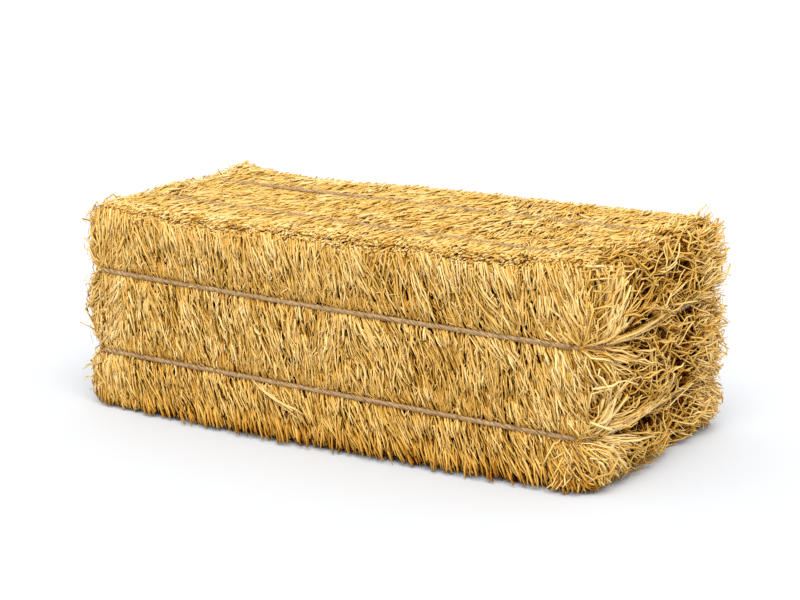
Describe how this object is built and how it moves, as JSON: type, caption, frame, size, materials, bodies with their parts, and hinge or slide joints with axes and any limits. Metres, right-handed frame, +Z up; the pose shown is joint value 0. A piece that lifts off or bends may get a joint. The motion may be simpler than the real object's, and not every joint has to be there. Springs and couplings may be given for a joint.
{
  "type": "straw bale",
  "caption": "Small rectangular straw bale: pressed flakes of golden straw tied both ways with natural twine, for seating, staging or farm scenes.",
  "frame": {"origin": "middle of the base, on the surface the bale rests on", "axes": "+X along the bale, -Y out of the front long side, +Z up"},
  "size_m": [0.9772, 0.4696, 0.3671],
  "materials": {
    "straw": "dry, slightly waxy stems, golden with paler and browner ones",
    "twine": "rough twisted natural fibre, matt"
  },
  "bodies": {
    "root": {"flake_01": "straw", "flake_02": "straw", "flake_03": "straw", "flake_04": "straw", "flake_05": "straw", "flake_06": "straw", "flake_07": "straw", "flake_08": "straw", "flake_09": "straw", "flake_10": "straw", "flake_11": "straw", "twine_level_upper": "twine", "twine_level_lower": "twine", "twine_upright_front": "twine", "twine_upright_rear": "twine"}
  },
  "joints": []
}
